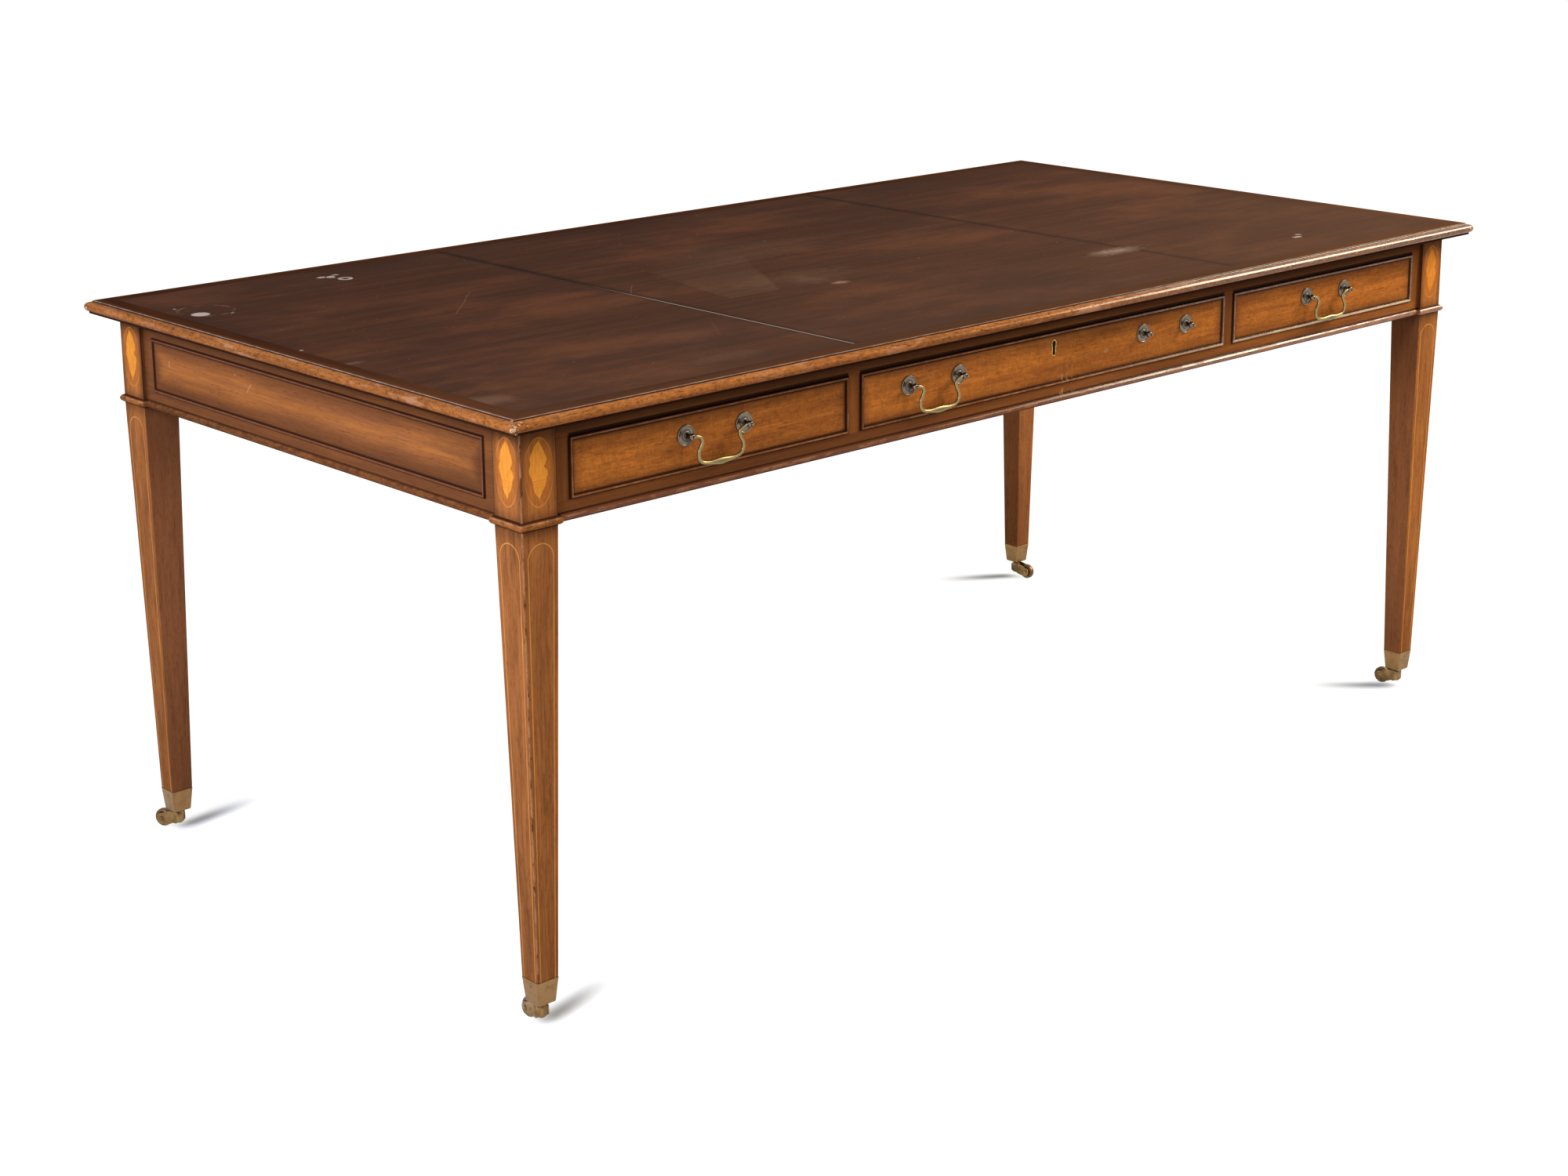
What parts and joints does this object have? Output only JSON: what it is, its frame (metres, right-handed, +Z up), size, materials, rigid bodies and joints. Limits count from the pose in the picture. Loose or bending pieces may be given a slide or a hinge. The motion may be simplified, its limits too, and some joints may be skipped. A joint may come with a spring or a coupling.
{
  "type": "writing table desk",
  "caption": "Mahogany writing desk with a moulded top, frieze drawers with bail pulls, a keyhole lock and square tapered legs on brass casters.",
  "frame": {"origin": "on the floor under the middle of the top", "axes": "+X along the length of the desk, to the right of the person who sits at it facing the drawers; +Y from the drawers towards the blind back; +Z up"},
  "size_m": [1.87, 0.96, 0.762],
  "materials": {
    "mahogany_top": "satin dark mahogany, polished",
    "mahogany_edge": "worn and pitted polished mahogany",
    "mahogany_leg": "satin mahogany with boxwood stringing",
    "mahogany_case": "satin mahogany",
    "drawer_front_mahogany": "satin honey mahogany",
    "drawer_oak": "bare wood",
    "guide_oak": "bare wood",
    "brass_cup": "aged brass",
    "brass_caster": "aged brass",
    "brass_wheel": "dark patina",
    "brass_rosette": "dark patina",
    "brass_bail": "pale aged brass",
    "brass_liner": "aged brass",
    "lock_steel": "aged steel"
  },
  "bodies": {
    "desk": {"top_board": "mahogany_top", "top_band_front": "mahogany_edge", "top_band_right": "mahogany_edge", "top_band_back": "mahogany_edge", "top_band_left": "mahogany_edge", "leg_front_left": "mahogany_leg", "caster_cup_front_left": "brass_cup", "leg_front_right": "mahogany_leg", "caster_cup_front_right": "brass_cup", "leg_back_left": "mahogany_leg", "caster_cup_back_left": "brass_cup", "leg_back_right": "mahogany_leg", "caster_cup_back_right": "brass_cup", "apron_right": "mahogany_case", "apron_back": "mahogany_case", "apron_left": "mahogany_case", "front_bottom_rail": "mahogany_case", "front_top_rail": "mahogany_case", "drawer_guide_left": "guide_oak", "drawer_guide_mid_left": "guide_oak", "drawer_guide_mid_right": "guide_oak", "drawer_guide_right": "guide_oak"},
    "drawer_left": {"drawer_left_front": "drawer_front_mahogany", "drawer_left_side_left": "drawer_oak", "drawer_left_side_right": "drawer_oak", "drawer_left_back": "drawer_oak", "drawer_left_bottom": "drawer_oak", "rosette_outer_left_left": "brass_rosette", "rosette_outer_left_right": "brass_rosette"},
    "drawer_middle": {"drawer_middle_front": "drawer_front_mahogany", "drawer_middle_side_left": "drawer_oak", "drawer_middle_side_right": "drawer_oak", "drawer_middle_back": "drawer_oak", "drawer_middle_bottom": "drawer_oak", "rosette_mid_left_left": "brass_rosette", "rosette_mid_left_right": "brass_rosette", "rosette_mid_right_left": "brass_rosette", "rosette_mid_right_right": "brass_rosette", "lock_case": "lock_steel", "keyhole_liner": "brass_liner"},
    "drawer_right": {"drawer_right_front": "drawer_front_mahogany", "drawer_right_side_left": "drawer_oak", "drawer_right_side_right": "drawer_oak", "drawer_right_back": "drawer_oak", "drawer_right_bottom": "drawer_oak", "rosette_outer_right_left": "brass_rosette", "rosette_outer_right_right": "brass_rosette"},
    "bail_outer_left": {"bail_outer_left": "brass_bail"},
    "bail_mid_left": {"bail_mid_left": "brass_bail"},
    "bail_outer_right": {"bail_outer_right": "brass_bail"},
    "lock_bolt": {"lock_bolt": "brass_liner"},
    "caster_front_left": {"caster_horn_front_left": "brass_caster"},
    "wheel_front_left": {"caster_wheel_front_left": "brass_wheel"},
    "caster_front_right": {"caster_horn_front_right": "brass_caster"},
    "wheel_front_right": {"caster_wheel_front_right": "brass_wheel"},
    "caster_back_left": {"caster_horn_back_left": "brass_caster"},
    "wheel_back_left": {"caster_wheel_back_left": "brass_wheel"},
    "caster_back_right": {"caster_horn_back_right": "brass_caster"},
    "wheel_back_right": {"caster_wheel_back_right": "brass_wheel"}
  },
  "joints": [
    {"name": "drawer_left_slide", "type": "slide", "parent": "desk", "child": "drawer_left", "axis": [0, -1, 0], "range_m": [0, 0.4]},
    {"name": "drawer_middle_slide", "type": "slide", "parent": "desk", "child": "drawer_middle", "axis": [0, -1, 0], "range_m": [0, 0.4]},
    {"name": "drawer_right_slide", "type": "slide", "parent": "desk", "child": "drawer_right", "axis": [0, -1, 0], "range_m": [0, 0.4]},
    {"name": "bail_outer_left_swing", "type": "hinge", "parent": "drawer_left", "child": "bail_outer_left", "pos_m": [-0.6055, -0.451, 0.6912], "axis": [-1, 0, 0], "range_deg": [-10, 165]},
    {"name": "bail_mid_left_swing", "type": "hinge", "parent": "drawer_middle", "child": "bail_mid_left", "pos_m": [-0.231, -0.451, 0.6912], "axis": [-1, 0, 0], "range_deg": [-10, 165]},
    {"name": "bail_outer_right_swing", "type": "hinge", "parent": "drawer_right", "child": "bail_outer_right", "pos_m": [0.6055, -0.451, 0.6912], "axis": [-1, 0, 0], "range_deg": [-10, 165]},
    {"name": "lock_bolt_slide", "type": "slide", "parent": "drawer_middle", "child": "lock_bolt", "axis": [0, 0, 1], "range_m": [0, 0.007]},
    {"name": "caster_front_left_swivel", "type": "hinge", "parent": "desk", "child": "caster_front_left", "pos_m": [-0.874, -0.419, 0.029], "axis": [0, 0, 1], "continuous": true},
    {"name": "wheel_front_left_spin", "type": "hinge", "parent": "caster_front_left", "child": "wheel_front_left", "pos_m": [-0.87139, -0.39414, 0.01289], "axis": [-0.9945, 0.1045, 0], "continuous": true},
    {"name": "caster_front_right_swivel", "type": "hinge", "parent": "desk", "child": "caster_front_right", "pos_m": [0.874, -0.419, 0.029], "axis": [0, 0, 1], "continuous": true},
    {"name": "wheel_front_right_spin", "type": "hinge", "parent": "caster_front_right", "child": "wheel_front_right", "pos_m": [0.87139, -0.39414, 0.01289], "axis": [-0.9945, -0.1045, 0], "continuous": true},
    {"name": "caster_back_left_swivel", "type": "hinge", "parent": "desk", "child": "caster_back_left", "pos_m": [-0.874, 0.419, 0.029], "axis": [0, 0, 1], "continuous": true},
    {"name": "wheel_back_left_spin", "type": "hinge", "parent": "caster_back_left", "child": "wheel_back_left", "pos_m": [-0.88417, 0.44184, 0.01289], "axis": [-0.9135, -0.4067, 0], "continuous": true},
    {"name": "caster_back_right_swivel", "type": "hinge", "parent": "desk", "child": "caster_back_right", "pos_m": [0.874, 0.419, 0.029], "axis": [0, 0, 1], "continuous": true},
    {"name": "wheel_back_right_spin", "type": "hinge", "parent": "caster_back_right", "child": "wheel_back_right", "pos_m": [0.87661, 0.39414, 0.01289], "axis": [0.9945, 0.1045, 0], "continuous": true}
  ]
}
